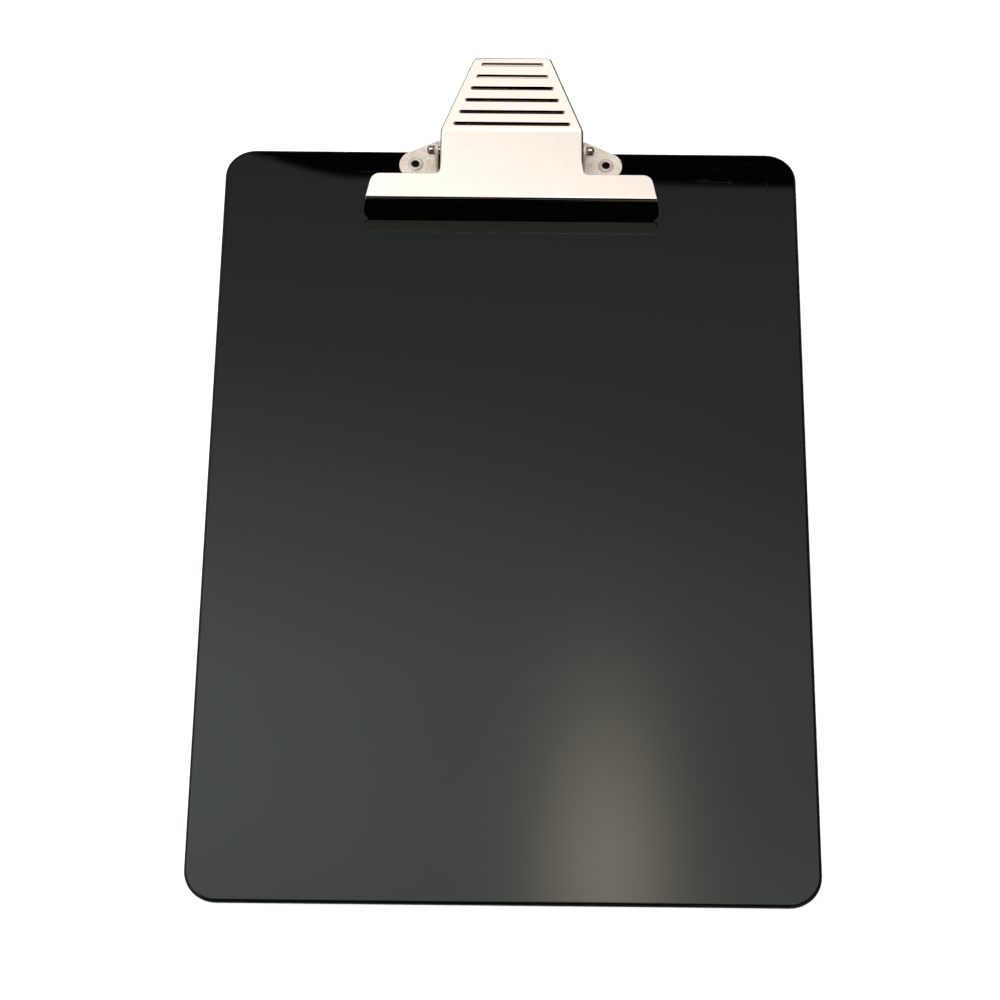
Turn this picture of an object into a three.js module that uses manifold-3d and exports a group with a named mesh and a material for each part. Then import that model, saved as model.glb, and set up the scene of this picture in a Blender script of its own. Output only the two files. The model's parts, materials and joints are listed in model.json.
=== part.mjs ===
// Letter-size clipboard with a sprung lever clip. Millimetres, +Z out of the writing face,
// +Y towards the clip, origin at the centre of the board's underside.
import * as THREE from 'three';
import { ConvexGeometry } from 'three/addons/geometries/ConvexGeometry.js';
import * as BufferGeometryUtils from 'three/addons/utils/BufferGeometryUtils.js';
import Module from 'manifold-3d';

// Board
const BOARD_WIDTH = 228.6;
const BOARD_LENGTH = 317.5;
const BOARD_THICKNESS = 3;
const BOARD_CORNER_RADIUS = 12;
const BOARD_EDGE_ROUND = 1.2;

// Sheet metal
const SHEET = 1;
const FLAT_GAP = 0.05;

// Hinge
const PIN_Y = 154;
const PIN_Z = 11;
const PIN_RADIUS = 1.5;
const PIN_BORE_RADIUS = 1.58;
const PIN_HEAD_RADIUS = 1.95;
const PIN_HEAD_START = 30.05;
const PIN_HEAD_END = 33.5;

// Clip lever: outer side profile, from the lip's edge to the end of the handle
const LIP_EDGE = [126.4, 3.55];
const FOLD = [128.2, 16.2];
const BEND = [159.15, 18.7];
const HANDLE_END = [186.8, 28.75];
const FOLD_RADIUS = 1.6;
const BEND_RADIUS = 8;
const JAW_BACK_Y = 139.36;
const JAW_FRONT_HALF = 57.5;
const JAW_BACK_HALF = 55.3;
const JAW_CORNER_RADIUS = 4;
const BODY_HALF = 28.4;
const BODY_ROOT_RADIUS = 2;
const HANDLE_END_HALF = 15.2;
const HANDLE_CORNER_RADIUS = 1.6;
const GROOVE_WIDTH = 1.4;
const GROOVE_FIRST = 2.25;
const GROOVE_PITCH = 4.82;
const GROOVE_HALF_LENGTHS = [23.4, 21.15, 18.8, 16.65, 14.4, 12.35];
const GROOVE_DEPTHS = [0.66, 0.66, 0.64, 0.62, 0.56, 0.46];
const LEVER_LUG_RADIUS = 3.3;
const LEVER_SIDE_PLAY = 0.4;

// Base plate
const EAR_INNER = 29;
const EAR_RADIUS = 3.4;
const PLATE_FRONT_Y = 141.5;
const PLATE_BACK_Y = 163.4;
const RIVET_X = 38.2;
const RIVET_Y = 151.8;
const WING_RADIUS = 6.5;

// Rivets
const RIVET_BARREL_RADIUS = 2.5;
const RIVET_BORE_RADIUS = 1.5;
const RIVET_FLANGE_RADIUS = 3.1;
const RIVET_HOLE_RADIUS = 2.6;
const COUNTERBORE_RADIUS = 4.7;
const COUNTERBORE_DEPTH = 1.3;
const WASHER_RADIUS = 4.2;
const WASHER_THICKNESS = 0.5;

// Springs
const WIRE_RADIUS = 0.8;
const COIL_RADIUS = 2.6;
const COIL_TURNS = 5;
const COIL_PITCH = 1.72;
const SPRING_START_X = 6;

const wasm = await Module();
wasm.setup();

function toSolid(geometry) {
  const bare = geometry.clone();
  bare.deleteAttribute('normal');
  bare.deleteAttribute('uv');
  const merged = BufferGeometryUtils.mergeVertices(bare, 1e-5);
  return new wasm.Manifold(new wasm.Mesh({
    numProp: 3,
    vertProperties: new Float32Array(merged.attributes.position.array),
    triVerts: new Uint32Array(merged.index.array),
  }));
}

function toGeometry(solid) {
  const mesh = solid.getMesh();
  const geometry = new THREE.BufferGeometry();
  geometry.setAttribute('position', new THREE.BufferAttribute(mesh.vertProperties, 3));
  geometry.setIndex(new THREE.BufferAttribute(mesh.triVerts, 1));
  return geometry;
}

function unite(solids) {
  return solids.reduce((sum, solid) => sum.add(solid));
}

function cut(solid, tools) {
  return tools.reduce((rest, tool) => rest.subtract(tool), solid);
}

function outline(points) {
  return new THREE.Shape(points.map(([u, v]) => new THREE.Vector2(u, v)));
}

function prism(points, depth) {
  return new THREE.ExtrudeGeometry(outline(points), { depth, bevelEnabled: false });
}

// Prisms along each axis, from an outline in the other two
function prismZ(pointsXY, low, high) {
  return toSolid(prism(pointsXY, high - low).translate(0, 0, low));
}

function prismX(pointsYZ, low, high) {
  const turn = new THREE.Matrix4().makeBasis(
    new THREE.Vector3(0, 1, 0),
    new THREE.Vector3(0, 0, 1),
    new THREE.Vector3(1, 0, 0),
  );
  return toSolid(prism(pointsYZ, high - low).applyMatrix4(turn).translate(low, 0, 0));
}

function prismY(pointsXZ, low, high) {
  const turn = new THREE.Matrix4().makeBasis(
    new THREE.Vector3(1, 0, 0),
    new THREE.Vector3(0, 0, 1),
    new THREE.Vector3(0, -1, 0),
  );
  return toSolid(prism(pointsXZ, high - low).applyMatrix4(turn).translate(0, high, 0));
}

function arc(cx, cy, radius, from, to, steps) {
  const points = [];
  for (let i = 0; i <= steps; i += 1) {
    const angle = from + ((to - from) * i) / steps;
    points.push([cx + radius * Math.cos(angle), cy + radius * Math.sin(angle)]);
  }
  return points;
}

function circle(cx, cy, radius, steps = 32) {
  return arc(cx, cy, radius, 0, 2 * Math.PI, steps).slice(0, -1);
}

// Replaces each inner corner of a path by an arc of its radius
function roundPath(points, radii, steps = 6) {
  const path = [];
  points.forEach((point, i) => {
    const radius = radii[i] ?? 0;
    if (radius === 0) {
      path.push(point);
      return;
    }
    const corner = new THREE.Vector2(...point);
    const before = new THREE.Vector2(...points[(i + points.length - 1) % points.length]);
    const after = new THREE.Vector2(...points[(i + 1) % points.length]);
    const back = before.sub(corner).normalize();
    const ahead = after.sub(corner).normalize();
    const half = Math.acos(THREE.MathUtils.clamp(back.dot(ahead), -1, 1)) / 2;
    const middle = back.clone().add(ahead).normalize();
    const centre = corner.clone().addScaledVector(middle, radius / Math.sin(half));
    const start = corner.clone().addScaledVector(back, radius / Math.tan(half)).sub(centre);
    const end = corner.clone().addScaledVector(ahead, radius / Math.tan(half)).sub(centre);
    const sweep = Math.atan2(start.cross(end), start.dot(end));
    path.push(...arc(centre.x, centre.y, radius, start.angle(), start.angle() + sweep, steps));
  });
  return path;
}

// Moves an open path sideways by a distance, to its right
function offsetPath(points, distance) {
  return points.map(([u, v], i) => {
    const here = new THREE.Vector2(u, v);
    const back = new THREE.Vector2(...points[Math.max(i - 1, 0)]);
    const ahead = new THREE.Vector2(...points[Math.min(i + 1, points.length - 1)]);
    const incoming = i === 0 ? ahead.clone().sub(here) : here.clone().sub(back);
    const outgoing = i === points.length - 1 ? incoming.clone() : ahead.clone().sub(here);
    incoming.normalize();
    outgoing.normalize();
    const along = incoming.clone().add(outgoing).normalize();
    const stretch = distance / Math.max(along.dot(incoming), 0.5);
    return [u + along.y * stretch, v - along.x * stretch];
  });
}

function mirrored(points) {
  return [...points, ...points.map(([u, v]) => [-u, v]).reverse()];
}

function smoothCurve(points, steps) {
  const curve = new THREE.SplineCurve(points.map(([u, v]) => new THREE.Vector2(u, v)));
  return curve.getPoints(steps).map((p) => [p.x, p.y]);
}

// Height of the lever's outer surface behind the fold
function leverTop(y) {
  const [from, to] = y < BEND[0] ? [FOLD, BEND] : [BEND, HANDLE_END];
  return from[1] + ((y - from[0]) * (to[1] - from[1])) / (to[0] - from[0]);
}

function makeBoard() {
  const inset = BOARD_EDGE_ROUND;
  const halfX = BOARD_WIDTH / 2 - inset;
  const halfY = BOARD_LENGTH / 2 - inset;
  const corner = BOARD_CORNER_RADIUS - inset;
  const corners = [[halfX, halfY], [-halfX, halfY], [-halfX, -halfY], [halfX, -halfY]];
  const shape = outline(roundPath(corners, [corner, corner, corner, corner], 10));
  const blank = new THREE.ExtrudeGeometry(shape, {
    depth: BOARD_THICKNESS - 2 * inset,
    bevelThickness: inset,
    bevelSize: inset,
    bevelSegments: 4,
  }).translate(0, 0, inset);
  const holes = [-RIVET_X, RIVET_X].flatMap((x) => [
    prismZ(circle(x, RIVET_Y, RIVET_HOLE_RADIUS), -1, BOARD_THICKNESS + 1),
    prismZ(circle(x, RIVET_Y, COUNTERBORE_RADIUS, 40), -1, COUNTERBORE_DEPTH),
  ]);
  return toGeometry(cut(toSolid(blank), holes));
}

// Side view of one of the base plate's two ears
function earOutline() {
  const foot = 5.4;
  return [
    [PIN_Y - foot, BOARD_THICKNESS],
    [PIN_Y + foot, BOARD_THICKNESS],
    [PIN_Y + foot, BOARD_THICKNESS + SHEET + 0.6],
    ...arc(PIN_Y, PIN_Z, EAR_RADIUS, 0, Math.PI, 14),
    [PIN_Y - foot, BOARD_THICKNESS + SHEET + 0.6],
  ];
}

function makeBasePlate() {
  const low = BOARD_THICKNESS;
  const high = BOARD_THICKNESS + SHEET;
  const shoulder = 30.2;
  const edge = [
    [0, PLATE_FRONT_Y],
    [27, PLATE_FRONT_Y],
    ...arc(RIVET_X, RIVET_Y, WING_RADIUS, -1.2, 1.1, 14),
    [shoulder, PLATE_BACK_Y - 0.4],
    [shoulder - 2, PLATE_BACK_Y],
    [0, PLATE_BACK_Y],
  ];
  const plate = prismZ([...edge, ...edge.slice(1, -1).reverse().map(([x, y]) => [-x, y])], low, high);
  const earOuter = EAR_INNER + SHEET;
  const ears = [
    prismX(earOutline(), EAR_INNER, earOuter),
    prismX(earOutline(), -earOuter, -EAR_INNER),
  ];
  const windowDepth = PIN_Z + EAR_RADIUS - high;
  const windows = [-1, 1].map((side) => {
    const outer = side * EAR_INNER;
    const inner = side * (EAR_INNER - windowDepth);
    const corners = [
      [Math.min(outer, inner), PIN_Y - 4.6],
      [Math.max(outer, inner), PIN_Y - 4.6],
      [Math.max(outer, inner), PIN_Y + 4.6],
      [Math.min(outer, inner), PIN_Y + 4.6],
    ];
    return prismZ(roundPath(corners, [1, 1, 1, 1], 4), low - 1, high + 0.001);
  });
  const holes = [-RIVET_X, RIVET_X].map((x) => (
    prismZ(circle(x, RIVET_Y, RIVET_HOLE_RADIUS), low - 1, high + 1)
  ));
  const bore = prismX(circle(PIN_Y, PIN_Z, PIN_BORE_RADIUS), -40, 40);
  return toGeometry(cut(unite([plate, ...ears]), [...windows, ...holes, bore]));
}

// The lever's outer surface in side view, rounded at its two folds
function leverProfile() {
  return roundPath([LIP_EDGE, FOLD, BEND, HANDLE_END], [0, FOLD_RADIUS, BEND_RADIUS, 0]);
}

// Plan view of the jaw, body and handle behind the fold
function leverPlan() {
  const front = FOLD[0] + 0.9;
  const half = [
    [64, front - 12],
    [64, front],
    [JAW_FRONT_HALF, front],
    [JAW_BACK_HALF, JAW_BACK_Y],
    [BODY_HALF, JAW_BACK_Y],
    [BODY_HALF, BEND[0]],
    [HANDLE_END_HALF, HANDLE_END[0]],
    [0, HANDLE_END[0]],
  ];
  const radii = [0, 0, 0, JAW_CORNER_RADIUS, BODY_ROOT_RADIUS, 5, HANDLE_CORNER_RADIUS, 0];
  return roundPath(half, radii).slice(0, -1);
}

// Front view of the lip, wider at mid-height, with rounded lower corners
function lipOutline() {
  return [
    ...smoothCurve([
      [55, 2.4],
      [57.2, 4.1],
      [58.4, 6.4],
      [58.5, 8.9],
      [58.1, 12.3],
      [JAW_FRONT_HALF, FOLD[1]],
    ], 16),
    [JAW_FRONT_HALF, FOLD[1] + 0.08],
    [64, FOLD[1] + 0.1],
    [64, 40],
  ];
}

// Side view of the lever's turned-down flanges
function flangeOutline() {
  const start = JAW_BACK_Y + BODY_ROOT_RADIUS;
  const end = HANDLE_END[0];
  const inside = 0.4 * SHEET;
  const top = [end, BEND[0], start].map((y) => [y, leverTop(y) - inside]);
  const front = smoothCurve([
    [start, leverTop(start) - 2.2],
    [PIN_Y - 6, 13.4],
    [PIN_Y - 3.6, 10.6],
  ], 6);
  const lug = arc(PIN_Y, PIN_Z, LEVER_LUG_RADIUS, Math.PI * 1.08, Math.PI * 1.92, 12);
  const heel = smoothCurve([
    [PIN_Y + 3.7, 10.8],
    [PIN_Y + 6.6, 14.3],
    [BEND[0] + 5, leverTop(BEND[0] + 5) - 4.2],
    [end, leverTop(end) - 2.6],
  ], 12);
  return [...top, ...front, ...lug, ...heel];
}

// Narrow upright strips that follow the body's and handle's side edges
function flangeStrips() {
  const edge = roundPath([
    [BODY_HALF, JAW_BACK_Y + BODY_ROOT_RADIUS],
    [BODY_HALF, BEND[0]],
    [HANDLE_END_HALF, HANDLE_END[0]],
  ], [0, 5, 0]);
  const right = [...edge, ...offsetPath(edge, -SHEET).reverse()];
  return [right, right.map(([x, y]) => [-x, y]).reverse()];
}

// A pressed grip groove: a V with rounded ends, sunk below the handle's outer face
function grooveSolid(index, drop) {
  const halfWidth = GROOVE_WIDTH / 2;
  const depth = GROOVE_DEPTHS[index];
  const rise = 0.3;
  const widest = halfWidth * (1 + rise / depth);
  const reach = GROOVE_HALF_LENGTHS[index] - halfWidth;
  const rim = [1, -1].flatMap((side) => (
    arc(0, 0, widest, -Math.PI / 2, Math.PI / 2, 6).map(([u, v]) => (
      new THREE.Vector3(side * (reach + u), v, rise)
    ))
  ));
  const keel = [1, -1].map((side) => new THREE.Vector3(side * reach, 0, -depth));
  const slope = Math.atan2(HANDLE_END[1] - BEND[1], HANDLE_END[0] - BEND[0]);
  const along = GROOVE_FIRST + index * GROOVE_PITCH;
  const groove = new ConvexGeometry([...rim, ...keel]).translate(0, 0, -drop).rotateX(slope);
  groove.translate(0, BEND[0] + along * Math.cos(slope), BEND[1] + along * Math.sin(slope));
  return toSolid(groove);
}

function makeLever() {
  const outer = leverProfile();
  const section = [...outer, ...offsetPath(outer, SHEET).reverse()];
  const sheet = prismX(section, -62, 62).intersect(prismY(mirrored(lipOutline()), 100, 210));
  const band = prismX(flangeOutline(), -62, 62);
  const flanges = flangeStrips().map((strip) => prismZ(strip, -10, 60).intersect(band));
  const plan = prismZ(mirrored(leverPlan()), -10, 60);
  const ridges = GROOVE_DEPTHS.map((_, i) => grooveSolid(i, 0.85 * SHEET));
  const grooves = GROOVE_DEPTHS.map((_, i) => grooveSolid(i, 0));
  const bore = prismX(circle(PIN_Y, PIN_Z, PIN_BORE_RADIUS), -40, 40);
  const blank = unite([sheet, ...flanges]).intersect(plan);
  const pressed = cut(unite([blank, ...ridges]), [...grooves, bore]);
  return toGeometry(pressed.translate(LEVER_SIDE_PLAY, 0, 0));
}

// A lathe's outline starts and ends on the axis, which then lies along X
function lathedX(points, steps) {
  const profile = points.map(([along, radius]) => new THREE.Vector2(radius, along));
  return new THREE.LatheGeometry(profile, steps).rotateZ(-Math.PI / 2);
}

// Half of the pin's outline, from its middle to the crown of a domed head
function pinOutline() {
  const dome = 1.3;
  return [
    [0, PIN_RADIUS],
    [PIN_HEAD_START, PIN_RADIUS],
    [PIN_HEAD_START, PIN_HEAD_RADIUS],
    ...arc(0, 0, 1, 0, Math.PI / 2, 6).map(([u, v]) => [
      PIN_HEAD_END - dome + dome * v,
      PIN_HEAD_RADIUS * Math.max(u, 0),
    ]),
  ];
}

function makePin() {
  const right = pinOutline();
  const left = right.slice(1).map(([along, radius]) => [-along, radius]).reverse();
  const pin = lathedX([...left, ...right.slice(1)], 32);
  return pin.translate(0, PIN_Y, PIN_Z);
}

// A rivet's or washer's section is closed, and turns about a line parallel to Z
function lathedZ(points, x, steps = 32) {
  const profile = [...points, points[0]].map(([radius, z]) => new THREE.Vector2(radius, z));
  const ring = new THREE.LatheGeometry(profile, steps).rotateX(Math.PI / 2);
  return toGeometry(toSolid(ring.translate(x, RIVET_Y, 0)));
}

function makeRivet(x) {
  const seat = BOARD_THICKNESS + SHEET;
  const tail = COUNTERBORE_DEPTH - WASHER_THICKNESS;
  return lathedZ([
    [RIVET_BORE_RADIUS, tail - 0.6],
    [RIVET_BARREL_RADIUS + 0.9, tail - 0.5],
    [RIVET_BARREL_RADIUS + 1, tail],
    [RIVET_BARREL_RADIUS, tail],
    [RIVET_BARREL_RADIUS, seat],
    [RIVET_FLANGE_RADIUS, seat],
    [RIVET_FLANGE_RADIUS, seat + 0.25],
    [RIVET_FLANGE_RADIUS - 0.25, seat + 0.6],
    [RIVET_FLANGE_RADIUS - 0.6, seat + 0.7],
    [RIVET_BORE_RADIUS + 0.15, seat + 0.5],
    [RIVET_BORE_RADIUS, seat + 0.1],
  ], x);
}

function makeWasher(x) {
  const top = COUNTERBORE_DEPTH;
  const bottom = COUNTERBORE_DEPTH - WASHER_THICKNESS;
  const inner = RIVET_HOLE_RADIUS;
  return lathedZ([[inner, bottom], [WASHER_RADIUS, bottom], [WASHER_RADIUS, top], [inner, top]], x);
}

// Side view of the point where a straight leg leaves the coil for its end
function tangentAngle(end, side) {
  const [y, z] = [end[0] - PIN_Y, end[1] - PIN_Z];
  return Math.atan2(z, y) + side * Math.acos(COIL_RADIUS / Math.hypot(y, z));
}

// Torsion spring: one leg presses on the base plate, the coil winds away from the middle of
// the clip, and the other leg presses up on the lever
class SpringPath extends THREE.Curve {
  constructor(side) {
    super();
    this.side = side;
    this.lowEnd = [PIN_Y + 8.6, BOARD_THICKNESS + SHEET + WIRE_RADIUS + FLAT_GAP];
    const y = PIN_Y + 10.4;
    this.highEnd = [y, leverTop(y) - SHEET - GROOVE_DEPTHS[0] - 1.1 * WIRE_RADIUS];
    this.first = tangentAngle(this.lowEnd, -1);
    this.last = tangentAngle(this.highEnd, 1) - 2 * Math.PI * COIL_TURNS;
    this.leg = 0.07;
  }

  onCoil(t) {
    const angle = this.first + (this.last - this.first) * t;
    const x = SPRING_START_X + (COIL_PITCH * (this.first - angle)) / (2 * Math.PI);
    return new THREE.Vector3(
      this.side * x,
      PIN_Y + COIL_RADIUS * Math.cos(angle),
      PIN_Z + COIL_RADIUS * Math.sin(angle),
    );
  }

  getPoint(t) {
    if (t < this.leg) {
      const start = this.onCoil(0);
      const end = new THREE.Vector3(start.x, ...this.lowEnd);
      return end.lerp(start, t / this.leg);
    }
    if (t > 1 - this.leg) {
      const start = this.onCoil(1);
      const end = new THREE.Vector3(start.x, ...this.highEnd);
      return start.lerp(end, (t - 1 + this.leg) / this.leg);
    }
    return this.onCoil((t - this.leg) / (1 - 2 * this.leg));
  }

  getPointAt(u) {
    return this.getPoint(u);
  }
}

function makeSpring(side) {
  const section = outline(circle(0, 0, WIRE_RADIUS, 8));
  const wire = new THREE.ExtrudeGeometry(section, { steps: 100, extrudePath: new SpringPath(side) });
  return toGeometry(toSolid(wire));
}

const finishes = {
  board: { color: 0x0d0e0d, roughness: 0.42, metalness: 0 },
  polished: { color: 0xe6ded6, roughness: 0.12, metalness: 1 },
  satin: { color: 0xb8aca0, roughness: 0.38, metalness: 1 },
  pin: { color: 0xcfcac4, roughness: 0.2, metalness: 1 },
  spring: { color: 0x8c8a88, roughness: 0.32, metalness: 1 },
  rivet: { color: 0xa89c90, roughness: 0.34, metalness: 1 },
};

const part = new THREE.Group();
part.name = 'clipboard';

function addPiece(name, geometry, finish) {
  const piece = new THREE.Mesh(geometry, new THREE.MeshStandardMaterial(finishes[finish]));
  piece.name = name;
  part.add(piece);
}

addPiece('board', makeBoard(), 'board');
addPiece('clip_base_plate', makeBasePlate(), 'satin');
addPiece('clip_lever', makeLever(), 'polished');
addPiece('hinge_pin', makePin(), 'pin');
for (const [suffix, side] of [['left', -1], ['right', 1]]) {
  addPiece(`torsion_spring_${suffix}`, makeSpring(side), 'spring');
  addPiece(`rivet_${suffix}`, makeRivet(side * RIVET_X), 'rivet');
  addPiece(`rivet_washer_${suffix}`, makeWasher(side * RIVET_X), 'rivet');
}

export default part;
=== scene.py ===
"""Looks, light and camera for the clipboard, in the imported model's frame, in metres."""

import json
import math

import bmesh
import bpy
from mathutils import Matrix, Vector


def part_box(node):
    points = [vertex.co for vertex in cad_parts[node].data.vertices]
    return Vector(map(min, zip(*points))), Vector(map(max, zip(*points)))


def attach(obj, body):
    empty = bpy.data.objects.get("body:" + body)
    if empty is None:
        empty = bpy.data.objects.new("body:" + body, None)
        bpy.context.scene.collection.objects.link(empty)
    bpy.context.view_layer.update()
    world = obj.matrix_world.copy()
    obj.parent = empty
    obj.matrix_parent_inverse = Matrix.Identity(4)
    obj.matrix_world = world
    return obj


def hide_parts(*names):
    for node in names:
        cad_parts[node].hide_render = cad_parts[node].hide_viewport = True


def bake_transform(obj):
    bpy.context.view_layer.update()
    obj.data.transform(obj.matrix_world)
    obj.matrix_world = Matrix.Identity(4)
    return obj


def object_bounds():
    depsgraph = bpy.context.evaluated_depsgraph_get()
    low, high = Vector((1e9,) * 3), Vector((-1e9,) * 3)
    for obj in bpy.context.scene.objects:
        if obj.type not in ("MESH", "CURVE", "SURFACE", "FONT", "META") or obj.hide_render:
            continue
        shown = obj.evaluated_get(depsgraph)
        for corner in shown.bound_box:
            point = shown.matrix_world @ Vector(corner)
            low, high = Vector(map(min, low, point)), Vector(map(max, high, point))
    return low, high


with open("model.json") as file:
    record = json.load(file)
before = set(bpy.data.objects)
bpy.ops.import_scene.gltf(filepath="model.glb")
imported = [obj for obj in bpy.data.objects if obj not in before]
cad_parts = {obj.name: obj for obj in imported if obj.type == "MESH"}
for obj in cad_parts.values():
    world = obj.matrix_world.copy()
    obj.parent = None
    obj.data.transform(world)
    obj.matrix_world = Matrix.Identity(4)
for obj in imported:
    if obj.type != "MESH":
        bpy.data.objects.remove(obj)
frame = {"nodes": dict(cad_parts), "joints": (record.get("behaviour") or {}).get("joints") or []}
cad_low, cad_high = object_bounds()

MM = 0.001
ON_AXIS = 1e-9
HINGE = Vector(frame["joints"][0]["pos_m"])
RIVET_BORE_RADIUS = 1.5 * MM
RIVET_BARREL_RADIUS = 2.5 * MM


# ---------------------------------------------------------------- mesh helpers

def add_object(name, mesh):
    piece = bpy.data.objects.new(name, mesh)
    bpy.context.scene.collection.objects.link(piece)
    return piece


def welded_copy(node, name):
    """A copy of a CAD node whose flat areas are single faces."""
    same_place, same_plane = 0.002 * MM, math.radians(0.5)
    bm = bmesh.new()
    bm.from_mesh(frame["nodes"][node].data)
    bmesh.ops.remove_doubles(bm, verts=bm.verts, dist=same_place)
    bmesh.ops.dissolve_limit(bm, angle_limit=same_plane, verts=bm.verts, edges=bm.edges)
    bmesh.ops.recalc_face_normals(bm, faces=bm.faces)
    bm.verts.ensure_lookup_table()
    bm.verts.index_update()
    points = [tuple(v.co) for v in bm.verts]
    faces = [[v.index for v in f.verts] for f in bm.faces]
    bm.free()
    mesh = bpy.data.meshes.new(name)
    mesh.from_pydata(points, [], faces)
    mesh.update()
    return add_object(name, mesh)


def round_edges(piece, width, segments, weight_of):
    """Rounds the piece's edges: weight_of(edge) gives each edge's share of the width."""
    bm = bmesh.new()
    bm.from_mesh(piece.data)
    layer = bm.edges.layers.float.new("bevel_weight_edge")
    for edge in bm.edges:
        if len(edge.link_faces) == 2:
            edge[layer] = weight_of(edge)
    bm.to_mesh(piece.data)
    bm.free()
    bevel = piece.modifiers.new("rounded_edges", "BEVEL")
    bevel.limit_method = "WEIGHT"
    bevel.width = width
    bevel.segments = segments
    bevel.use_clamp_overlap = False
    graph = bpy.context.evaluated_depsgraph_get()
    piece.data = bpy.data.meshes.new_from_object(piece.evaluated_get(graph))
    piece.modifiers.clear()


def shade(piece, weighted=True, crease=34):
    """Smooths the shading but for edges sharper than crease, an angle in degrees."""
    for polygon in piece.data.polygons:
        polygon.use_smooth = True
    piece.data.set_sharp_from_angle(angle=math.radians(crease))
    if weighted:
        normals = piece.modifiers.new("even_normals", "WEIGHTED_NORMAL")
        normals.weight = 60
        normals.keep_sharp = True


def lathe(name, profile, centre, axis, segments=48):
    """Turns a (radius, height) outline about an axis. It starts and ends on the axis, or closes."""
    bm = bmesh.new()
    closed = profile[0][0] > ON_AXIS
    rings = []
    for radius, height in profile:
        if radius < ON_AXIS:
            rings.append([bm.verts.new((0, 0, height))])
            continue
        angles = [2 * math.pi * i / segments for i in range(segments)]
        ring = [bm.verts.new((radius * math.cos(a), radius * math.sin(a), height)) for a in angles]
        rings.append(ring)
    pairs = list(zip(rings, rings[1:]))
    if closed:
        pairs.append((rings[-1], rings[0]))
    for low, high in pairs:
        for i in range(segments):
            j = (i + 1) % segments
            corners = [low[i % len(low)], low[j % len(low)], high[j % len(high)], high[i % len(high)]]
            unique = list(dict.fromkeys(corners))
            if len(unique) > 2:
                bm.faces.new(unique)
    bmesh.ops.recalc_face_normals(bm, faces=bm.faces)
    mesh = bpy.data.meshes.new(name)
    bm.to_mesh(mesh)
    bm.free()
    turn = Vector((0, 0, 1)).rotation_difference(Vector(axis)).to_matrix().to_4x4()
    mesh.transform(Matrix.Translation(centre) @ turn)
    piece = add_object(name, mesh)
    shade(piece, weighted=False, crease=50)
    return piece


def arc(cx, cy, radius, start, end, steps):
    """Points on an arc, angles in degrees."""
    angles = [math.radians(start + (end - start) * i / steps) for i in range(steps + 1)]
    return [(cx + radius * math.cos(a), cy + radius * math.sin(a)) for a in angles]


def sweep(name, path, radius, sides=16):
    """A round wire along a path. Its ends are chamfered: narrower over a short step."""
    end_size, end_step = radius * 0.8, radius * 0.2
    count = len(path)
    tangents = [(path[min(i + 1, count - 1)] - path[max(i - 1, 0)]).normalized() for i in range(count)]
    normal = tangents[0].orthogonal().normalized()
    bm = bmesh.new()
    rings = []

    def add_ring(centre, tangent, side, size):
        across = tangent.cross(side)
        ring = []
        for k in range(sides):
            a = 2 * math.pi * k / sides
            ring.append(bm.verts.new(centre + size * (math.cos(a) * side + math.sin(a) * across)))
        rings.append(ring)

    for i, (point, tangent) in enumerate(zip(path, tangents)):
        if i:
            turn = tangents[i - 1].rotation_difference(tangent)
            normal = (turn @ normal).normalized()
        if i == 0:
            add_ring(point, tangent, normal, end_size)
            point = point + tangent * end_step
        if i == count - 1:
            add_ring(point - tangent * end_step, tangent, normal, radius)
            add_ring(point, tangent, normal, end_size)
            continue
        add_ring(point, tangent, normal, radius)
    for low, high in zip(rings, rings[1:]):
        for k in range(sides):
            j = (k + 1) % sides
            bm.faces.new((low[k], low[j], high[j], high[k]))
    bm.faces.new(rings[0][::-1])
    bm.faces.new(rings[-1])
    bmesh.ops.recalc_face_normals(bm, faces=bm.faces)
    mesh = bpy.data.meshes.new(name)
    bm.to_mesh(mesh)
    bm.free()
    piece = add_object(name, mesh)
    shade(piece, weighted=False, crease=50)
    return piece


# ------------------------------------------------------------- material helpers

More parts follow.
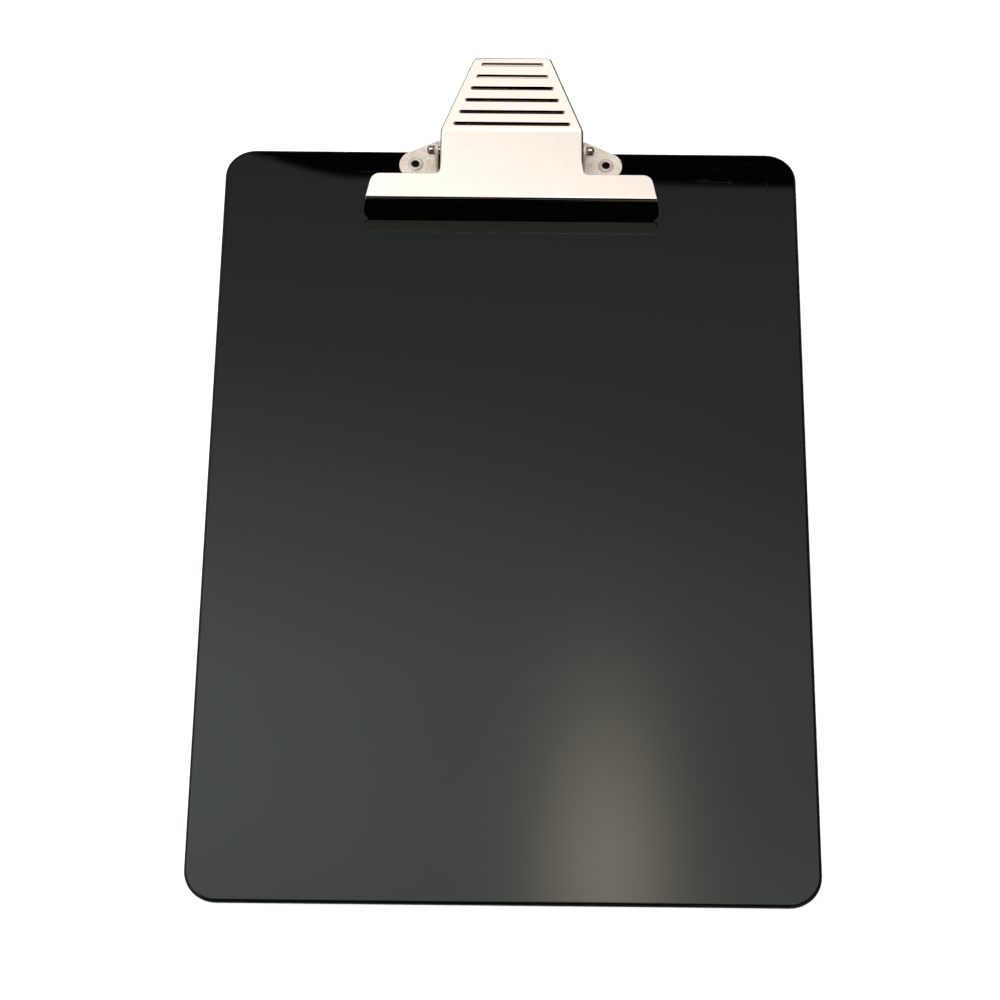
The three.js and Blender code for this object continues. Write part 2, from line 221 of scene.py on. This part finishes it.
class Paint:
    """A Principled material and short calls that add its nodes."""

    def __init__(self, name):
        self.material = bpy.data.materials.new(name)
        self.material.use_nodes = True
        self.tree = self.material.node_tree
        self.shader = self.tree.nodes["Principled BSDF"]
        self.place = self.tree.nodes.new("ShaderNodeTexCoord").outputs["Object"]

    def node(self, kind, links=None, **settings):
        made = self.tree.nodes.new(kind)
        for key, value in settings.items():
            setattr(made, key, value)
        for key, value in (links or {}).items():
            self.feed(made.inputs[key], value)
        return made

    def feed(self, socket, value):
        if isinstance(value, bpy.types.NodeSocket):
            self.tree.links.new(value, socket)
        else:
            socket.default_value = value

    def stretch(self, scale):
        return self.node("ShaderNodeMapping", {"Vector": self.place, "Scale": scale}).outputs[0]

    def noise(self, scale, detail=3.0, roughness=0.5, place=None, distortion=0.0):
        links = {
            "Vector": place or self.place,
            "Scale": scale,
            "Detail": detail,
            "Roughness": roughness,
            "Distortion": distortion,
        }
        return self.node("ShaderNodeTexNoise", links).outputs["Fac"]

    def ramp(self, value, stops):
        made = self.node("ShaderNodeValToRGB", {"Fac": value})
        elements = made.color_ramp.elements
        while len(elements) < len(stops):
            elements.new(1.0)
        for element, (position, colour) in zip(elements, stops):
            if not isinstance(colour, tuple):
                colour = (colour, colour, colour)
            element.position = position
            element.color = (*colour, 1.0)
        return made.outputs["Color"]

    def math(self, operation, a, b=0.0):
        return self.node("ShaderNodeMath", {0: a, 1: b}, operation=operation).outputs[0]

    def mix(self, factor, a, b):
        made = self.node("ShaderNodeMix", data_type="RGBA")
        self.feed(made.inputs[0], factor)
        self.feed(made.inputs[6], a if isinstance(a, bpy.types.NodeSocket) else (*a, 1.0))
        self.feed(made.inputs[7], b if isinstance(b, bpy.types.NodeSocket) else (*b, 1.0))
        return made.outputs[2]

    def bump(self, height, strength, distance, below=None):
        links = {"Height": height, "Strength": strength, "Distance": distance}
        if below is not None:
            links["Normal"] = below
        return self.node("ShaderNodeBump", links).outputs[0]

    def scratches(self, scale, stretch, low, high):
        """Thin streaks, mostly along one direction; 0 where the surface is clean."""
        place = self.stretch(stretch)
        return self.ramp(self.noise(scale, 2.0, 0.6, place, 0.4), [(low, 0.0), (high, 1.0)])

    def edges(self, radius=0.0004):
        """1 on and beside the edges of a piece, 0 on its flat and gently curved areas."""
        rounded = self.node("ShaderNodeBevel", {"Radius": radius}, samples=4).outputs[0]
        normal = self.node("ShaderNodeNewGeometry").outputs["Normal"]
        near = self.node("ShaderNodeVectorMath", {0: rounded, 1: normal}, operation="DOT_PRODUCT")
        return self.ramp(self.math("SUBTRACT", 1.0, near.outputs["Value"]), [(0.01, 0.0), (0.09, 1.0)])

    def set(self, **sockets):
        names = {
            "color": "Base Color",
            "rough": "Roughness",
            "metal": "Metallic",
            "normal": "Normal",
            "ior": "IOR",
        }
        for key, value in sockets.items():
            self.feed(self.shader.inputs[names[key]], value)
        return self.material


def black_plastic():
    p = Paint("black_plastic")
    cloud = p.noise(9.0, 4.0, 0.55)
    grain = p.noise(2600.0, 2.0, 0.5)
    scuffs = p.scratches(55.0, (1.0, 14.0, 1.0), 0.66, 0.74)
    crossing = p.scratches(48.0, (12.0, 1.4, 1.0), 0.69, 0.76)
    marks = p.math("MAXIMUM", scuffs, crossing)
    dust = p.ramp(p.noise(900.0, 1.0, 0.4), [(0.78, 0.0), (0.82, 1.0)])
    base = p.mix(cloud, (0.0003, 0.00035, 0.0003), (0.0008, 0.0009, 0.0008))
    base = p.mix(p.math("MULTIPLY", marks, 0.3), base, (0.004, 0.004, 0.0038))
    base = p.mix(p.math("MULTIPLY", dust, 0.2), base, (0.012, 0.012, 0.0115))
    facing = p.node("ShaderNodeNewGeometry").outputs["Normal"]
    upright = p.node("ShaderNodeSeparateXYZ", {"Vector": facing}).outputs[2]
    level = p.math("ABSOLUTE", upright)
    wear = p.math("MULTIPLY", p.ramp(level, [(0.6, 1.0), (0.97, 0.0)]), p.noise(160.0, 3.0, 0.6))
    base = p.mix(wear, base, (0.006, 0.006, 0.0058))
    rough = p.math("ADD", 0.008, p.math("MULTIPLY", cloud, 0.014))
    rough = p.math("ADD", rough, p.math("MULTIPLY", marks, 0.05))
    rough = p.math("ADD", rough, p.math("MULTIPLY", wear, 0.12))
    swell = p.bump(p.noise(11.0, 2.0, 0.4), 0.3, 0.00004)
    fine = p.bump(grain, 0.02, 0.00001, swell)
    cuts = p.bump(p.math("MULTIPLY", marks, -1.0), 0.03, 0.00002, fine)
    p.shader.inputs["Specular Tint"].default_value = (0.9, 1.0, 0.93, 1.0)
    return p.set(color=base, rough=rough, normal=cuts, ior=1.5)


def polished_nickel():
    p = Paint("polished_nickel")
    cloud = p.noise(38.0, 4.0, 0.55)
    haze = p.noise(120.0, 5.0, 0.65, distortion=0.6)
    buffing = p.noise(420.0, 3.0, 0.6, p.stretch((1.0, 16.0, 16.0)))
    hair = p.scratches(150.0, (1.0, 26.0, 26.0), 0.64, 0.7)
    cross = p.scratches(130.0, (20.0, 1.6, 1.6), 0.68, 0.73)
    marks = p.math("MAXIMUM", hair, cross)
    wear = p.edges()
    base = p.mix(cloud, (0.81, 0.71, 0.64), (0.835, 0.745, 0.67))
    base = p.mix(p.math("MULTIPLY", haze, 0.3), base, (0.79, 0.705, 0.64))
    base = p.mix(p.math("MULTIPLY", wear, 0.6), base, (0.66, 0.61, 0.57))
    rough = p.math("ADD", 0.06, p.math("MULTIPLY", haze, 0.08))
    rough = p.math("ADD", rough, p.math("MULTIPLY", marks, 0.1))
    rough = p.math("ADD", rough, p.math("MULTIPLY", wear, 0.1))
    swell = p.bump(cloud, 0.25, 0.00008)
    lines = p.bump(buffing, 0.05, 0.00002, swell)
    cuts = p.bump(p.math("MULTIPLY", marks, -1.0), 0.06, 0.00002, lines)
    return p.set(color=base, rough=rough, metal=1.0, normal=cuts)


def satin_steel():
    p = Paint("satin_steel")
    mottle = p.noise(260.0, 4.0, 0.6, distortion=0.5)
    flecks = p.noise(2300.0, 3.0, 0.6)
    stain = p.ramp(p.noise(75.0, 5.0, 0.6), [(0.42, 0.0), (0.66, 1.0)])
    wear = p.edges()
    base = p.mix(mottle, (0.90, 0.77, 0.665), (1.0, 0.945, 0.86))
    base = p.mix(p.ramp(flecks, [(0.53, 0.0), (0.62, 0.85)]), base, (0.42, 0.33, 0.25))
    base = p.mix(p.math("MULTIPLY", stain, 0.25), base, (0.60, 0.48, 0.37))
    base = p.mix(p.math("MULTIPLY", wear, 0.6), base, (0.93, 0.87, 0.80))
    rough = p.math("ADD", 0.34, p.math("MULTIPLY", mottle, 0.16))
    rough = p.math("SUBTRACT", rough, p.math("MULTIPLY", wear, 0.12))
    coarse = p.bump(mottle, 0.35, 0.00005)
    fine = p.bump(flecks, 0.3, 0.00003, coarse)
    return p.set(color=base, rough=rough, metal=0.35, normal=fine)


def turned_steel():
    p = Paint("turned_steel")
    rings = p.noise(1500.0, 2.0, 0.5, p.stretch((6.0, 1.0, 1.0)))
    grime = p.ramp(p.noise(420.0, 4.0, 0.6), [(0.45, 0.0), (0.75, 1.0)])
    wear = p.edges()
    base = p.mix(rings, (0.70, 0.68, 0.655), (0.82, 0.80, 0.78))
    base = p.mix(p.math("MULTIPLY", grime, 0.3), base, (0.42, 0.39, 0.36))
    base = p.mix(p.math("MULTIPLY", wear, 0.3), base, (0.9, 0.88, 0.85))
    rough = p.math("ADD", 0.13, p.math("MULTIPLY", grime, 0.16))
    return p.set(color=base, rough=rough, metal=1.0, normal=p.bump(rings, 0.12, 0.00002))


def spring_wire():
    p = Paint("spring_wire")
    streaks = p.noise(700.0, 3.0, 0.6, p.stretch((3.0, 1.0, 1.0)))
    oil = p.ramp(p.noise(240.0, 4.0, 0.6), [(0.4, 0.0), (0.7, 1.0)])
    base = p.mix(streaks, (0.36, 0.35, 0.34), (0.52, 0.505, 0.49))
    base = p.mix(p.math("MULTIPLY", oil, 0.45), base, (0.22, 0.19, 0.16))
    rough = p.math("ADD", 0.24, p.math("MULTIPLY", streaks, 0.16))
    return p.set(color=base, rough=rough, metal=1.0, normal=p.bump(streaks, 0.25, 0.00003))


def rolled_rivet():
    """Plated steel outside, and painted shade down the bore."""
    p = Paint("rolled_rivet")
    mottle = p.noise(520.0, 4.0, 0.6)
    grime = p.ramp(p.noise(300.0, 5.0, 0.6), [(0.46, 0.0), (0.72, 1.0)])
    wear = p.edges()
    base = p.mix(mottle, (0.70, 0.61, 0.53), (0.90, 0.81, 0.72))
    base = p.mix(p.math("MULTIPLY", grime, 0.3), base, (0.34, 0.28, 0.23))
    base = p.mix(p.math("MULTIPLY", wear, 0.5), base, (0.82, 0.77, 0.71))
    split = p.node("ShaderNodeSeparateXYZ", {"Vector": p.place}).outputs
    low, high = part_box("rivet_right")
    across = p.math("SUBTRACT", p.math("ABSOLUTE", split[0]), (low.x + high.x) / 2)
    along = p.math("SUBTRACT", split[1], (low.y + high.y) / 2)
    radius = p.math("SQRT", p.math("ADD", p.math("POWER", across, 2.0), p.math("POWER", along, 2.0)))
    # Painted shade: the bore's walls are darkened where shade falls inside the tube.
    painted_bore_shade = p.ramp(p.math("DIVIDE", radius, RIVET_BARREL_RADIUS), [(0.615, 1.0), (0.7, 0.0)])
    base = p.mix(painted_bore_shade, base, (0.014, 0.008, 0.006))
    rough = p.math("ADD", 0.3, p.math("MULTIPLY", mottle, 0.18))
    rough = p.math("ADD", rough, p.math("MULTIPLY", painted_bore_shade, 0.45))
    metal = p.math("MULTIPLY", p.math("SUBTRACT", 1.0, painted_bore_shade), 0.6)
    return p.set(color=base, rough=rough, metal=metal, normal=p.bump(mottle, 0.3, 0.00004))


def zinc_washer():
    p = Paint("zinc_washer")
    spangle = p.noise(650.0, 4.0, 0.6, distortion=0.8)
    wear = p.edges()
    base = p.mix(spangle, (0.50, 0.51, 0.52), (0.70, 0.71, 0.72))
    base = p.mix(p.math("MULTIPLY", wear, 0.5), base, (0.85, 0.85, 0.84))
    rough = p.math("ADD", 0.3, p.math("MULTIPLY", spangle, 0.2))
    return p.set(color=base, rough=rough, metal=1.0, normal=p.bump(spangle, 0.25, 0.00003))


def finish(piece, material, body, node):
    """Paints the piece, hides the node it stands for, and gives it to the body that carries it, if one
    does.
    """
    piece.data.materials.clear()
    piece.data.materials.append(material)
    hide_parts(node)
    if body:
        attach(piece, body)


# ----------------------------------------------------------------------- pieces

def make_board():
    piece = welded_copy("board", "writing_board")
    softening, top_rim = 0.15 * MM, 2.5 * MM

    def weight(edge):
        """The underside's edges are softened; the top's are round in the CAD already."""
        height = (edge.verts[0].co.z + edge.verts[1].co.z) / 2
        sharp = edge.calc_face_angle(0) > math.radians(60)
        return 1.0 if sharp and height < top_rim else 0.0

    round_edges(piece, softening, 2, weight)
    shade(piece)
    finish(piece, black_plastic(), "base", "board")


def make_lever():
    piece = welded_copy("clip_lever", "lever_plate")
    low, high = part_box("clip_lever")
    middle = (low.x + high.x) / 2
    jaw_back, bend = HINGE.y - 12.65 * MM, HINGE.y + 5 * MM
    fold_radius = 0.9 * MM
    grooved_half, narrowing, end_margin = 26.9 * MM, 13.2 * MM, 1 * MM
    least_wall = 5 * MM * MM

    def weight(edge):
        """The folded sides are well rounded, the sheared edges hardly, the grooves least."""
        if edge.calc_face_angle_signed(0) < math.radians(28):
            return 0.0
        centre = (edge.verts[0].co + edge.verts[1].co) / 2
        taper = min(max((centre.y - bend) / (high.y - bend), 0.0), 1.0)
        inner = grooved_half - taper * narrowing
        grooved = abs(centre.x - middle) < inner and bend < centre.y < high.y - end_margin
        upper = max(f.normal.z for f in edge.link_faces) > 0.9
        if upper and not grooved and centre.y > jaw_back:
            return 1.0
        return 0.1 if grooved else 0.2

    round_edges(piece, fold_radius, 5, weight)
    shade(piece)
    # The grooves' long walls are flat, so that their keels stay crisp at both ends
    for facet in piece.data.polygons:
        steep = (facet.normal.y > 0.3 or facet.normal.y < -0.7) and facet.normal.z > 0.3
        on_handle = bend < facet.center.y < high.y - 2 * end_margin
        if steep and on_handle and facet.area > least_wall:
            facet.use_smooth = False
    finish(piece, polished_nickel(), "lever", "clip_lever")


def make_base_plate():
    piece = welded_copy("clip_base_plate", "base_plate")
    softening = 0.18 * MM

    def weight(edge):
        return 1.0 if edge.calc_face_angle_signed(0) > math.radians(35) else 0.0

    round_edges(piece, softening, 3, weight)
    shade(piece)
    finish(piece, satin_steel(), "base", "clip_base_plate")


def make_pin():
    """A shaft whose two heads start outside the ears and end in low domes."""
    low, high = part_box("hinge_pin")
    centre = (low + high) / 2
    half = (high.x - low.x) / 2
    head = (high.z - low.z) / 2
    shaft, head_start = 1.5 * MM, 30.05 * MM
    chamfer, dome_height = 0.15 * MM, 1.3 * MM
    dome = [(head * math.cos(a), half - dome_height + dome_height * math.sin(a))
            for a in (math.radians(7.5 * i) for i in range(12))]
    side = [(shaft, head_start), (head - chamfer, head_start), (head, head_start + chamfer),
            *dome, (0.0, half)]
    left = [(radius, -height) for radius, height in reversed(side)]
    piece = lathe("hinge_pin_shaft", [*left, *side], centre, (1, 0, 0))
    finish(piece, turned_steel(), "base", "hinge_pin")


def make_spring(side, suffix, material):
    """The CAD spring's path again, with finer steps."""
    coil, wire, turns, pitch = 2.6 * MM, 0.8 * MM, 5, 1.72 * MM
    start_x, still_length = 6 * MM, 0.9 * MM
    coil_steps, leg_steps = 170, 6
    low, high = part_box(f"torsion_spring_{suffix}")
    low_end = Vector((8.6 * MM, low.z + 0.795 * MM - HINGE.z))
    high_end = Vector((10.4 * MM, high.z - 0.74 * MM - HINGE.z))

    def leaving(end, way):
        return math.atan2(end.y, end.x) + way * math.acos(coil / end.length)

    first = leaving(low_end, -1)
    last = leaving(high_end, 1) - 2 * math.pi * turns

    def on_coil(t):
        angle = first + (last - first) * t
        x = start_x + pitch * (first - angle) / (2 * math.pi)
        return Vector((side * x, HINGE.y + coil * math.cos(angle), HINGE.z + coil * math.sin(angle)))

    def leg(end, x):
        return Vector((x, HINGE.y + end.x, HINGE.z + end.y))

    begin, end = on_coil(0), on_coil(1)
    tail = [leg(low_end, begin.x).lerp(begin, i / leg_steps) for i in range(leg_steps)]
    body = [on_coil(i / coil_steps) for i in range(coil_steps + 1)]
    tip = [end.lerp(leg(high_end, end.x), (i + 1) / leg_steps) for i in range(leg_steps)]
    piece = sweep(f"spring_coil_{suffix}", [*tail, *body, *tip], wire, 14)
    finish(piece, material, None, f"torsion_spring_{suffix}")
    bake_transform(piece)


def make_rivet(suffix, material):
    """A tube with a rolled rim on the wing and a flared tail against the washer."""
    low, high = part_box(f"rivet_{suffix}")
    centre = Vector(((low.x + high.x) / 2, (low.y + high.y) / 2, 0))
    bore, barrel, flange = RIVET_BORE_RADIUS, RIVET_BARREL_RADIUS, 3.1 * MM
    tail = (high.x - low.x) / 2
    rim_edge, rim_height = 0.15 * MM, 0.55 * MM
    seat = high.z - rim_edge - rim_height
    roll_r = (flange - bore) / 2
    roll = [(bore + roll_r + roll_r * math.cos(a), seat + rim_edge + rim_height * math.sin(a))
            for a in (math.radians(18 * i) for i in range(11))]
    profile = [
        (bore, low.z + 0.15 * MM),
        (bore + 0.15 * MM, low.z),
        (tail - 0.2 * MM, low.z + 0.08 * MM),
        (tail, low.z + 0.25 * MM),
        (tail - 0.05 * MM, low.z + 0.6 * MM),
        (barrel, low.z + 0.6 * MM),
        (barrel, seat),
        (flange - 0.02 * MM, seat),
        *roll,
    ]
    piece = lathe(f"tube_rivet_{suffix}", profile, centre, (0, 0, 1))
    finish(piece, material, "base", f"rivet_{suffix}")


def make_washer(suffix, material):
    low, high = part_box(f"rivet_washer_{suffix}")
    centre = Vector(((low.x + high.x) / 2, (low.y + high.y) / 2, 0))
    outer = (high.x - low.x) / 2
    inner, r = 2.6 * MM, 0.12 * MM
    corners = [(inner + r, low.z + r, 180), (outer - r, low.z + r, 270),
               (outer - r, high.z - r, 0), (inner + r, high.z - r, 90)]
    profile = [p for x, z, a in corners for p in arc(x, z, r, a, a + 90, 3)]
    piece = lathe(f"washer_{suffix}", profile, centre, (0, 0, 1))
    finish(piece, material, "base", f"rivet_washer_{suffix}")


make_board()
make_lever()
make_base_plate()
make_pin()
wire_finish, rivet_finish, washer_finish = spring_wire(), rolled_rivet(), zinc_washer()
for hand, label in ((-1, "left"), (1, "right")):
    make_spring(hand, label, wire_finish)
    make_rivet(label, rivet_finish)
    make_washer(label, washer_finish)


# ------------------------------------------------------------------ studio stage

def make_floor():
    """A pale table top with painted shade under the board, where it would shine up through the rivets.

    It is seen from above only, so views from below see the board's back.
    """
    mesh = bpy.data.meshes.new("studio_floor")
    size, height = 12.0, -0.0002
    corners = [(-size, -size, height), (size, -size, height), (size, size, height), (-size, size, height)]
    mesh.from_pydata(corners, [], [(0, 1, 2, 3)])
    floor = add_object("studio_floor", mesh)
    p = Paint("pale_floor")
    pale = p.mix(p.noise(3.0, 2.0), (0.90, 0.90, 0.89), (0.93, 0.93, 0.925))
    p.shader.inputs["Specular IOR Level"].default_value = 0.0
    p.shader.inputs["Emission Color"].default_value = (1.0, 1.0, 1.0, 1.0)
    split = p.node("ShaderNodeSeparateXYZ", {"Vector": p.place}).outputs
    corner = 12 * MM
    half_width, half_length = cad_high[0] - corner, -cad_low[1] - corner
    across = p.math("MAXIMUM", p.math("SUBTRACT", p.math("ABSOLUTE", split[0]), half_width), 0.0)
    along = p.math("MAXIMUM", p.math("SUBTRACT", p.math("ABSOLUTE", split[1]), half_length), 0.0)
    beyond = p.math("SQRT", p.math("ADD", p.math("POWER", across, 2.0), p.math("POWER", along, 2.0)))
    # Painted shade: inside the board's outline the floor is dark and gives no glow.
    open_floor = p.ramp(p.math("DIVIDE", beyond, 2 * corner), [(0.4, 0.0), (0.47, 1.0)])
    p.feed(p.shader.inputs["Emission Strength"], p.math("MULTIPLY", open_floor, 0.35))
    p.set(color=p.mix(open_floor, (0.03, 0.028, 0.025), pale), rough=0.9)
    back = p.node("ShaderNodeNewGeometry").outputs["Backfacing"]
    clear = p.node("ShaderNodeBsdfTransparent").outputs[0]
    mixed = p.node("ShaderNodeMixShader")
    p.feed(mixed.inputs[0], back)
    p.feed(mixed.inputs[1], p.shader.outputs[0])
    p.feed(mixed.inputs[2], clear)
    p.feed(p.tree.nodes["Material Output"].inputs["Surface"], mixed.outputs[0])
    mesh.materials.append(p.material)
    floor.visible_glossy = False


def make_backdrop():
    """A pale dome behind everything, which lights nothing and shows in no reflection."""
    bm = bmesh.new()
    bmesh.ops.create_icosphere(bm, subdivisions=3, radius=11.0)
    mesh = bpy.data.meshes.new("studio_backdrop")
    bm.to_mesh(mesh)
    bm.free()
    dome = add_object("studio_backdrop", mesh)
    material = bpy.data.materials.new("pale_backdrop")
    material.use_nodes = True
    tree = material.node_tree
    glow = tree.nodes.new("ShaderNodeEmission")
    glow.inputs["Color"].default_value = (0.97, 0.97, 0.965, 1.0)
    tree.links.new(glow.outputs[0], tree.nodes["Material Output"].inputs["Surface"])
    mesh.materials.append(material)
    for ray in ("diffuse", "glossy", "transmission", "volume_scatter", "shadow"):
        setattr(dome, f"visible_{ray}", False)


def add_sun(name, azimuth, elevation, strength, angle):
    """A lamp for the floor and other dull surfaces; polished ones reflect the world instead."""
    lamp = bpy.data.lights.new(name, "SUN")
    lamp.energy = strength
    lamp.angle = math.radians(angle)
    sun = bpy.data.objects.new(name, lamp)
    a, e = math.radians(azimuth), math.radians(elevation)
    back = Vector((math.sin(a) * math.cos(e), -math.cos(a) * math.cos(e), math.sin(e)))
    sun.rotation_mode = "QUATERNION"
    sun.rotation_quaternion = back.to_track_quat("Z", "Y")
    sun.visible_glossy = False
    bpy.context.scene.collection.objects.link(sun)


class Sky:
    """The world's nodes: a wide box light overhead, and low walls that the other sides see.

    A direction is (x, y, z), and u and v are x / z and y / z: where it meets a ceiling.
    """

    def __init__(self):
        world = bpy.data.worlds.new("studio")
        bpy.context.scene.world = world
        world.use_nodes = True
        self.tree = world.node_tree
        self.background = self.tree.nodes["Background"]

    def math(self, operation, *values):
        made = self.tree.nodes.new("ShaderNodeMath")
        made.operation = operation
        for socket, value in zip(made.inputs, values):
            if isinstance(value, bpy.types.NodeSocket):
                self.tree.links.new(value, socket)
            else:
                socket.default_value = value
        return made.outputs[0]

    def step(self, value, start, end, low=0.0, high=1.0):
        """Goes smoothly from low at start to high at end, whichever of the two is larger."""
        if start > end:
            start, end, low, high = end, start, high, low
        made = self.tree.nodes.new("ShaderNodeMapRange")
        made.interpolation_type = "SMOOTHSTEP"
        self.tree.links.new(value, made.inputs[0])
        for socket, number in zip(list(made.inputs)[1:], (start, end, low, high)):
            socket.default_value = number
        return made.outputs[0]

    def falloff(self, v):
        """The box light's strength along v: even overhead, and dimmer towards the far edge."""
        strongest = 2.0
        stops = [(-1.0, 0.0), (-0.4, 0.005), (-0.335, 0.04), (-0.285, 0.22), (-0.22, 0.62), (-0.1, 0.65),
                 (0.1, 0.66), (0.36, 0.71), (0.43, 0.675), (0.46, 0.585), (0.48, 0.51), (0.52, 0.38),
                 (0.56, 0.3), (0.60, 0.255), (0.645, 0.215), (0.7, 0.17), (1.0, 0.1)]
        level = self.tree.nodes.new("ShaderNodeFloatCurve")
        self.tree.links.new(self.math("MULTIPLY_ADD", v, 0.5, 0.5), level.inputs["Value"])
        curve = level.mapping.curves[0]
        while len(curve.points) < len(stops):
            curve.points.new(0.5, 0.5)
        for point, (place, value) in zip(curve.points, stops):
            point.location = (0.5 + place / 2, value)
            point.handle_type = "VECTOR"
        level.mapping.update()
        return self.math("MULTIPLY", level.outputs[0], strongest)

    def box_light(self, u, v):
        """The box light ends in a sharp far edge, which rises at the left, and in soft sides."""
        edge_v, edge_slope = 0.6378, -0.016
        left_rise = self.step(u, -0.062, -0.125, 0.0, 0.0137)
        edge = self.math("ADD", self.math("MULTIPLY_ADD", u, edge_slope, edge_v), left_rise)
        inside = self.step(self.math("SUBTRACT", v, edge), 0.0012, -0.002)
        sides = self.math("MULTIPLY", self.step(u, 0.34, 0.26), self.step(u, -0.95, -0.8))

        slant, least, most = -2.2, 0.55, 1.35
        tilt = self.math("MAXIMUM", self.math("MULTIPLY_ADD", u, slant, 1.0), least)
        tilt = self.math("SUBTRACT", self.math("MINIMUM", tilt, most), 1.0)
        share = self.math("MULTIPLY", self.step(v, 0.3, 0.4), self.step(v, 0.59, 0.49, 0.15, 1.0))
        tilt = self.math("ADD", 1.0, self.math("MULTIPLY", tilt, share))
        shape = self.math("MULTIPLY", inside, self.math("MULTIPLY", sides, tilt))
        return self.math("MULTIPLY", self.falloff(v), shape)

    def left_wall(self, y, z, u):
        reach = self.step(self.math("ABSOLUTE", y), 0.75, 0.6, 0.0, 0.62)
        band = self.math("MULTIPLY", self.step(u, -1.0, -1.15), self.step(z, 0.12, 0.25))
        return self.math("MULTIPLY", band, reach)

    def front_and_right_walls(self, x, y, z):
        """Low and dim. The front wall is dimmer still in its middle, which the clip's fold sees."""
        front = self.math("MULTIPLY", self.step(y, -0.35, -0.7), self.step(z, 0.62, 0.42, 0.0, 0.32))
        front = self.math("MULTIPLY", front, self.step(self.math("ABSOLUTE", x), 0.1, 0.3, 0.3, 1.0))
        right = self.math("MULTIPLY", self.step(x, 0.5, 0.85), self.step(z, 0.66, 0.46, 0.0, 0.2))
        return self.math("ADD", front, right)

    def build(self):
        way = self.tree.nodes.new("ShaderNodeTexCoord").outputs["Generated"]
        split = self.tree.nodes.new("ShaderNodeSeparateXYZ")
        self.tree.links.new(way, split.inputs[0])
        x, y, z = split.outputs
        height = self.math("MAXIMUM", z, 0.02)
        u = self.math("DIVIDE", x, height)
        v = self.math("DIVIDE", y, height)
        ambient = 0.004
        upper = self.math("ADD", self.box_light(u, v), self.left_wall(y, z, u))
        upper = self.math("ADD", self.math("ADD", upper, ambient), self.front_and_right_walls(x, y, z))
        upper = self.math("MULTIPLY", upper, self.step(z, 0.0, 0.03))
        back_wall = self.math("MULTIPLY", self.step(v, 1.15, 1.5), self.step(z, 0.15, 0.3, 0.0, 0.45))
        below = self.step(z, -0.3, -0.85, 0.0, 0.3)
        total = self.math("ADD", self.math("ADD", upper, back_wall), below)
        self.tree.links.new(total, self.background.inputs["Strength"])
        self.background.inputs["Color"].default_value = (1.0, 1.0, 0.995, 1.0)


def make_lamp_glow():
    """A soft bright patch under the box light; only polished surfaces show it."""
    mesh = bpy.data.meshes.new("lamp_glow")
    x, y, z = 0.09, 0.43, 1.6
    half_x, half_y = 0.16, 0.39
    spread, strength = 0.39, 3.0
    corners = [(x - half_x, y - half_y, z), (x - half_x, y + half_y, z),
               (x + half_x, y + half_y, z), (x + half_x, y - half_y, z)]
    mesh.from_pydata(corners, [], [(0, 1, 2, 3)])
    glow = add_object("lamp_glow", mesh)
    p = Paint("lamp_glow")
    split = p.node("ShaderNodeSeparateXYZ", {"Vector": p.place}).outputs
    across = p.math("POWER", p.math("DIVIDE", p.math("SUBTRACT", split[0], x), half_x * spread), 2.0)
    along = p.math("POWER", p.math("DIVIDE", p.math("SUBTRACT", split[1], y), half_y * spread), 2.0)
    lobe = p.math("EXPONENT", p.math("MULTIPLY", p.math("ADD", across, along), -1.0))
    glow_links = {"Color": (1.0, 0.74, 0.60, 1.0), "Strength": p.math("MULTIPLY", lobe, strength)}
    light = p.node("ShaderNodeEmission", glow_links).outputs[0]
    clear = p.node("ShaderNodeBsdfTransparent").outputs[0]
    added = p.node("ShaderNodeAddShader", {0: light, 1: clear}).outputs[0]
    p.feed(p.tree.nodes["Material Output"].inputs["Surface"], added)
    mesh.materials.append(p.material)
    for ray in ("camera", "diffuse", "transmission", "volume_scatter", "shadow"):
        setattr(glow, f"visible_{ray}", False)


def make_camera():
    """The photograph's point of view, fitted to the board's outline."""
    data = bpy.data.cameras.new("photo_camera")
    data.sensor_width = 36.0
    data.lens = 109.8
    data.clip_start, data.clip_end = 0.05, 60.0
    camera = bpy.data.objects.new("photo_camera", data)
    place = (0.003006, -0.51553, 1.03886)
    forward = Vector((-0.0048869, 0.44697328, -0.89453396)).normalized()
    upright = Vector((-0.00977357, 0.89448056, 0.44700))
    right = forward.cross(upright).normalized()
    up = right.cross(forward)
    turn = Matrix((right, up, -forward)).transposed().to_4x4()
    camera.matrix_world = Matrix.Translation(place) @ turn
    bpy.context.scene.collection.objects.link(camera)
    bpy.context.scene.camera = camera


make_floor()
make_backdrop()
add_sun("key_front", azimuth=6, elevation=62, strength=1.35, angle=14)
add_sun("fill_left", azimuth=-75, elevation=48, strength=0.45, angle=40)
add_sun("fill_right", azimuth=80, elevation=52, strength=0.4, angle=40)
add_sun("fill_back", azimuth=180, elevation=58, strength=0.4, angle=40)
add_sun("lift_below", azimuth=30, elevation=-55, strength=1.2, angle=30)
make_lamp_glow()
Sky().build()
make_camera()

scene = bpy.context.scene
scene.view_settings.view_transform = "Standard"
scene.view_settings.look = "None"
